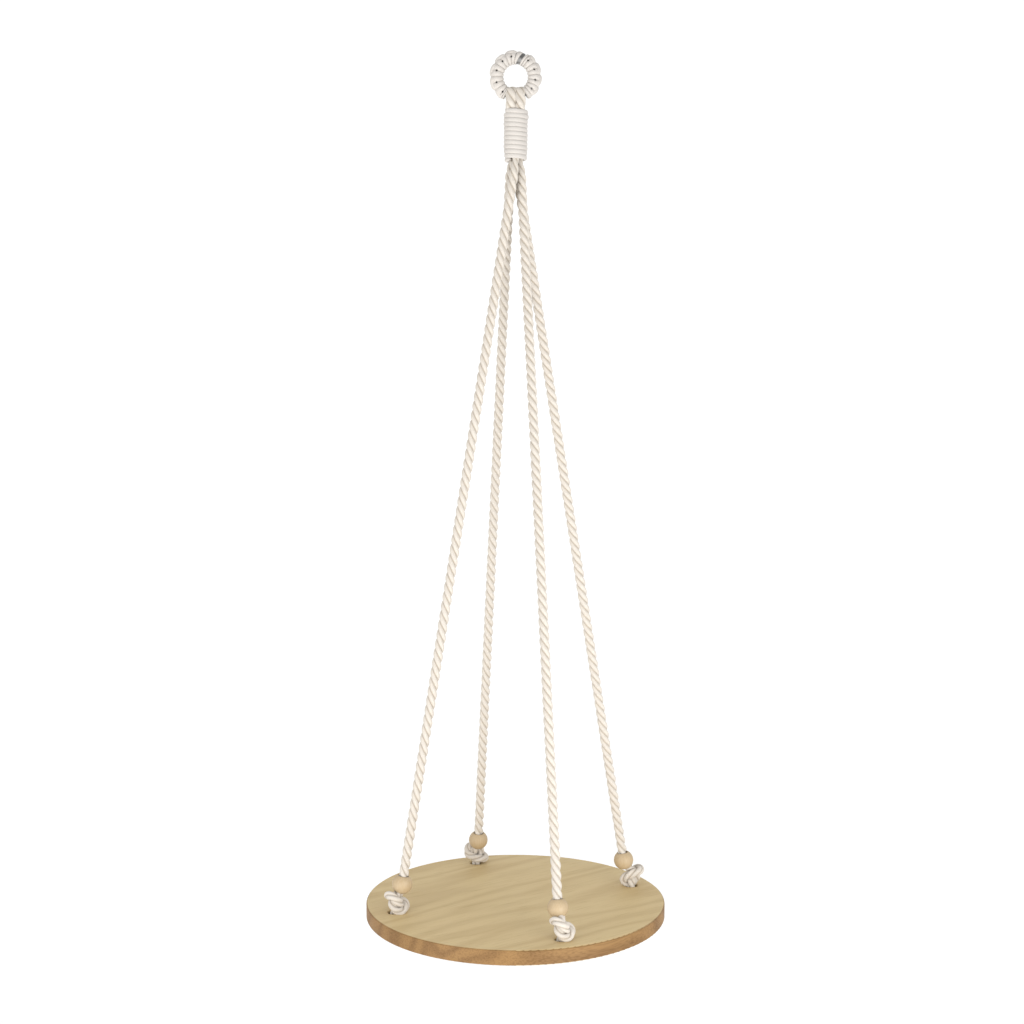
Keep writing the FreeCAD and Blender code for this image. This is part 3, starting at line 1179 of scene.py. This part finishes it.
# --- ring ---------------------------------------------------------------------------------------
@dataclass
class HitchedCover:
    """Cord hitched over one side of the ring.

    Each hitch is two turns round the wire, parted by a small eye on the face, and
    a bar of the same cord that crosses them on the outer rim.
    """

    side: Side
    frame: Frame
    eyes: tuple[float, ...]             # angles of the eyes, from +X, in degrees
    gap_edge: float                     # where the cover starts beside the bare wire
    rope_edge: float                    # where it ends beside the folded ropes
    wire: float = 2.6 * MM
    turn_outer: float = 6.5 * MM
    bar_middle: float = 5.7 * MM
    bar_radius: float = 1.95 * MM
    bar_turn: float = 20.0              # of the bars from the outer rim to the front
    eye_turn: float = 76.0
    eye_half: float = 1.05 * MM
    eye_spread: float = 0.20            # of an eye round the section, in radians
    bar_dive: float = 2.4 * MM          # of a bar's ends
    lean: float = 6.5                   # of the turns beside the bare wire, in degrees
    back_lean: float = 12.0             # their further lean behind the wire
    lean_fade: float = 22.0             # how soon the lean fades, in degrees
    gap_width: float = 3.0 * MM         # of the bare wire

    def edges(self) -> tuple[np.ndarray, np.ndarray]:
        """Where the turns part.

        Returns:
            The angles in order, in degrees, and which of them are eyes.
        """
        eyes = np.array(self.eyes)
        between = (eyes[:-1] + eyes[1:]) / 2
        first = (self.gap_edge + eyes[0]) / 2
        last = (self.rope_edge + eyes[-1]) / 2
        plain = np.concatenate([[self.gap_edge, first], between, [last, self.rope_edge]])
        angles = np.concatenate([plain, eyes])
        is_eye = np.concatenate([np.zeros(len(plain), bool), np.ones(len(eyes), bool)])
        order = np.argsort(angles * self.side.value * -1)
        return angles[order], is_eye[order]

    def leaning(self, angle: float, around: np.ndarray) -> np.ndarray:
        """How far an edge between turns leans, in radians.

        Beside the bare wire the turns run at a slant: an edge moves back on the
        outer rim, forwards on the inner rim, and back again behind the wire. The
        gap stays as wide on the outer rim as on the inner one. The lean fades away
        with the distance from the bare wire.

        Args:
            angle: the edge's place along the ring, in degrees.
            around: place round the section, in radians.

        Returns:
            The shift at each place.
        """
        near = math.exp(-abs(angle - self.gap_edge) / self.lean_fade)
        behind = np.clip(-np.sin(around), 0.0, 1.0) ** 2
        slant = math.radians(self.lean) * np.cos(around) + math.radians(self.back_lean) * behind
        middle = self.gap_width / 2 / self.frame.ring_radius
        here = self.gap_width / 2 / (self.frame.ring_radius + self.turn_outer * np.cos(around))
        return near * (self.side.value * (middle - here) - slant)

    def add_turn(self, skin: Skin, low: float, high: float, eyes: tuple[bool, bool]) -> None:
        """Add one turn of cord round the wire.

        Its section is an oval between two edge lines. An edge line leans near the
        bare wire, and gives way to the eye where it has one.

        Args:
            skin: the mesh that it joins.
            low: angle of one edge, in degrees.
            high: angle of the other.
            eyes: whether each edge has an eye.
        """
        rows, columns = 56, 18
        around = (np.arange(rows) / rows * TURN)[:, None]
        section = (np.arange(columns) / columns * TURN)[None, :]
        rho = self.frame.ring_radius + self.turn_outer * 0.8 * np.cos(around)
        off = around - math.radians(self.eye_turn)
        dip = np.exp(-((off / self.eye_spread) ** 2)) * self.eye_half / rho
        bounds = []
        for angle, has_eye, inwards in ((low, eyes[0], 1), (high, eyes[1], -1)):
            way = math.copysign(1.0, high - low) * inwards
            leaning = self.leaning(angle, around)
            bounds.append(math.radians(angle) + leaning + (dip * way if has_eye else 0.0))
        middle, half = (bounds[0] + bounds[1]) / 2, (bounds[1] - bounds[0]) / 2
        thick = (self.turn_outer - self.wire) / 2
        plump = np.sign(np.sin(section)) * np.abs(np.sin(section)) ** 0.85
        reach = self.wire + thick + thick * plump
        angle = middle + half * 1.05 * np.cos(section)
        along = np.linspace(0.0, TURN * (self.wire + thick), rows + 1) / CM
        skin.add_tube(self.frame.ring_spot(angle, around, reach), along, looped=True)

    def add_bar(self, skin: Skin, low: float, eye: float, high: float) -> None:
        """Add the bar that crosses a hitch on the outer rim.

        Its line runs over the two turns and dives between hitches at both ends.

        Args:
            skin: the mesh that it joins.
            low: angle where it starts, in degrees.
            eye: angle of its middle.
            high: angle where it ends.
        """
        rows, columns = 25, 14
        share = np.linspace(-1.0, 1.0, rows)
        rim = [a + math.degrees(self.leaning(a, np.zeros(1))[0]) for a in (low, eye, high)]
        angle = np.radians(np.interp(share, (-1.0, 0.0, 1.0), rim))
        dive = share**4
        reach = self.bar_middle - self.bar_dive * dive
        around = np.radians(self.bar_turn + 16.0 * share * self.side.value - 4.0 * dive)
        line = self.frame.ring_spot(angle, around, reach)
        way = np.gradient(line, axis=0)
        way /= np.linalg.norm(way, axis=1)[:, None]
        out = line - self.frame.ring_spot(angle, around, np.zeros(rows))
        out -= np.sum(out * way, axis=1)[:, None] * way
        out /= np.linalg.norm(out, axis=1)[:, None]
        over = np.cross(way, out)
        section = np.arange(columns) / columns * TURN
        radius = (self.bar_radius * (1 - 0.3 * dive))[:, None, None]
        rings = line[:, None] + radius * (
            np.cos(section)[:, None] * out[:, None] + 1.1 * np.sin(section)[:, None] * over[:, None]
        )
        skin.add_tube(rings, lengths_along(line) / CM)

    def build(self, finish: bpy.types.Material) -> bpy.types.Object:
        """Make the cover's turns and bars.

        Args:
            finish: the cord's cotton.

        Returns:
            The piece.
        """
        skin = Skin()
        angles, is_eye = self.edges()
        for k in range(len(angles) - 1):
            self.add_turn(skin, angles[k], angles[k + 1], (bool(is_eye[k]), bool(is_eye[k + 1])))
        for k in np.flatnonzero(is_eye):
            self.add_bar(skin, angles[k - 1], angles[k], angles[k + 1])
        word = self.side.word
        piece = skin.build("hitched_cord_" + word, finish)
        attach(piece, "ring")
        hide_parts("ring_cover_" + word)
        log.info("%s: %d hitches", piece.name, len(self.eyes))
        return piece


@dataclass
class RingSleeve:
    """Steel sleeve over the joint of the ring's wire, bare between the covers."""

    frame: Frame
    start: float = 66.0                 # in degrees from +X, as the end
    end: float = 92.0
    radius: float = 5.7 * MM

    def build(self, finish: bpy.types.Material) -> bpy.types.Object:
        """Make a short bent tube along the ring.

        It is circles of the sleeve's radius round points of the ring's centre line.

        Args:
            finish: the steel.

        Returns:
            The piece.
        """
        rows, columns = 19, 32
        angle = np.radians(np.linspace(self.start, self.end, rows))[:, None]
        around = (np.arange(columns) / columns * TURN)[None, :]
        rings = self.frame.ring_spot(angle, around, self.radius)
        skin = Skin()
        skin.add_tube(rings, np.linspace(0.0, 1.0, rows))
        piece = skin.build("ring_sleeve", finish)
        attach(piece, "ring")
        log.info("%s: %.1f mm across", piece.name, 2 * self.radius / MM)
        return piece


# --- wooden pieces ------------------------------------------------------------------------------
@dataclass
class BallBead:
    """A turned ball with a bore for the rope and eased rims."""

    corner: Corner
    frame: Frame
    radius: float = 10.0 * MM
    bore: float = 4.95 * MM
    ease: float = 0.45 * MM
    wall_share: float = 0.88            # of the bore's height between its rims

    def profile(self) -> tuple[np.ndarray, np.ndarray]:
        """The half section: the ball's arc from rim to rim, and the bore's wall.

        Returns:
            Distances out from the bore's axis, and up along it.
        """
        rim = math.asin((self.bore + self.ease) / self.radius)
        angle = np.linspace(rim, math.pi - rim, 30)
        out, up = self.radius * np.sin(angle), self.radius * np.cos(angle)
        wall = np.linspace(-self.wall_share, self.wall_share, 9) * up[0]
        out = np.concatenate([out, np.full(len(wall), self.bore)])
        up = np.concatenate([up, wall])
        return out, up

    def build(self, finish: bpy.types.Material) -> bpy.types.Object:
        """Turn the profile about the leg's line.

        The bead's middle is the middle of its CAD node's box, and its bore follows
        the leg.

        Args:
            finish: the bead's wood.

        Returns:
            The piece.
        """
        low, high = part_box("bead_" + self.corner.name)
        middle = (np.array(low) + np.array(high)) / 2
        below = self.frame.leg_point(self.corner, self.frame.board_top)
        way = self.frame.leg_point(self.corner, self.frame.wrap_end) - below
        way /= np.linalg.norm(way)
        side = np.cross(way, (0.0, 1.0, 0.0))
        side /= np.linalg.norm(side)
        over = np.cross(way, side)
        out, up = self.profile()
        columns = 56
        around = (np.arange(columns) / columns * TURN)[:, None]
        wide = np.cos(around)[..., None] * side + np.sin(around)[..., None] * over
        rings = middle + out[None, :, None] * wide + up[None, :, None] * way
        skin = Skin()
        skin.add_tube(rings, np.linspace(0.0, 6.0, columns + 1), looped=True)
        piece = skin.build("ball_bead_" + self.corner.name, finish)
        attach(piece, "bead_" + self.corner.name)
        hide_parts("bead_" + self.corner.name)
        log.info("%s: %.0f mm ball", piece.name, 2 * self.radius / MM)
        return piece


# --- studio -------------------------------------------------------------------------------------
@dataclass
class Studio:
    """Paper sweep, soft lights and the camera."""

    frame: Frame
    drop: float = 0.9                   # from the board down to the paper
    eye: Triple = (-0.0035, -1.67205, -0.27285)
    pitch: float = 84.56                # of the camera, up from straight down
    lens: float = 59.77

    def add_paper(self) -> None:
        """A level sheet that curves up far behind the shelf.

        Its height is zero as far as the bend, then a quarter circle, then a wall.
        """
        floor = self.frame.board_end - self.drop
        bend, back, half, front = 1.2, 2.6, 6.0, -5.0
        turn = np.linspace(0.0, math.pi / 2, 24)
        y = np.concatenate([[front], back + bend * np.sin(turn), [back + bend]])
        z = np.concatenate([[0.0], bend * (1 - np.cos(turn)), [5.0]]) + floor
        x = np.array([-half, half])
        points = np.stack(np.broadcast_arrays(x[None, :], y[:, None], z[:, None]), axis=-1)
        row = np.arange(len(y) - 1) * 2
        faces = np.stack([row, row + 1, row + 3, row + 2], axis=-1)
        mesh = bpy.data.meshes.new("paper_sweep")
        mesh.from_pydata(points.reshape(-1, 3).tolist(), [], faces.tolist())
        mesh.polygons.foreach_set("use_smooth", np.ones(len(faces), bool))
        mesh.materials.append(StudioPaper().paint())
        sweep = bpy.data.objects.new("paper_sweep", mesh)
        bpy.context.scene.collection.objects.link(sweep)

    def add_light(self, name: str, place: Triple, aim: Triple, size: float, power: float) -> None:
        """One square soft light.

        Args:
            name: its name.
            place: where it stands.
            aim: the point that it faces.
            size: the length of its side.
            power: its power in watts.
        """
        data = bpy.data.lights.new(name, "AREA")
        data.shape = "SQUARE"
        data.size = size
        data.energy = power
        made = bpy.data.objects.new(name, data)
        made.location = place
        made.rotation_euler = (Vector(aim) - Vector(place)).to_track_quat("-Z", "Y").to_euler()
        bpy.context.scene.collection.objects.link(made)

    def add_sky(self, strength: float) -> None:
        """Even white light from all round.

        Args:
            strength: how bright it is.
        """
        world = bpy.data.worlds.new("studio")
        world.use_nodes = True
        background = world.node_tree.nodes["Background"]
        background.inputs["Color"].default_value = (1.0, 1.0, 1.0, 1.0)
        background.inputs["Strength"].default_value = strength
        bpy.context.scene.world = world

    def add_camera(self) -> None:
        """The camera, level with the upper ropes and pointed a little down."""
        data = bpy.data.cameras.new("camera")
        data.sensor_width = 36.0
        data.lens = self.lens
        data.clip_end = 50.0
        made = bpy.data.objects.new("camera", data)
        made.location = self.eye
        made.rotation_euler = (math.radians(self.pitch), 0.0, 0.0)
        bpy.context.scene.collection.objects.link(made)
        bpy.context.scene.camera = made

    def build(self) -> None:
        """Set up the whole studio."""
        self.add_paper()
        self.add_light("key", (0.9, -1.3, -0.75), (0.0, 0.0, -0.8), 0.8, 17.0)
        self.add_light("fill", (-1.5, -1.6, -0.75), (0.0, 0.0, -0.7), 1.2, 24.0)
        self.add_sky(0.72)
        self.add_camera()
        bpy.context.scene.view_settings.view_transform = "Standard"
        log.info("studio ready")


# --- the whole planter --------------------------------------------------------------------------
def dress_node(name: str, finish: bpy.types.Material) -> None:
    """Give a CAD node that stays in view its finish.

    Args:
        name: the node.
        finish: its material.
    """
    node = frame["nodes"][name]
    node.data.materials.clear()
    node.data.materials.append(finish)
    log.info("%s: dressed", name)


def write_sizes() -> None:
    """Do nothing; the CAD box and the finished model's box are not written."""
    log.info("sizes written")


def main() -> None:
    """Build every piece in order."""
    logging.basicConfig(level=logging.INFO, format="%(message)s")
    size = Frame()
    rope = TwistedCotton("laid_cotton_rope", strands=3, yarns=6, yarn_slant=5.2).paint()
    cord = TwistedCotton(
        "twisted_cotton_cord",
        strands=1,
        yarns=9,
        yarn_slant=3.6,
        crest=(0.61, 0.575, 0.54),
        # painted shade in the cord's yarn grooves
        yarn_groove_shade=(0.535, 0.50, 0.46),
        depth=0.14 * MM,
    ).paint()
    bead = BeadWood().paint()
    steel = DrawnSteel().paint()
    dress_node("steel_ring", steel)
    RingSleeve(size).build(steel)
    board_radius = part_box("round_board")[1].x
    dress_node("round_board", ShelfWood(35.0, board_radius).paint())
    for side in Side:
        SlingRope(side, size).build(rope)
        FoldedRope(side, size).build(rope)
    GatheringWrap(size).build(cord)
    left_eyes = (103.5, 131.7, 162.9, 196.8, 229.3)
    HitchedCover(Side.LEFT, size, left_eyes, gap_edge=78.9, rope_edge=241.5).build(cord)
    right_eyes = (51.7, 20.8, -9.7, -37.0)
    HitchedCover(Side.RIGHT, size, right_eyes, gap_edge=68.5, rope_edge=-60.0).build(cord)
    for corner in CORNERS.values():
        BallBead(corner, size).build(bead)
    Studio(size).build()
    write_sizes()


if __name__ == "__main__":
    main()
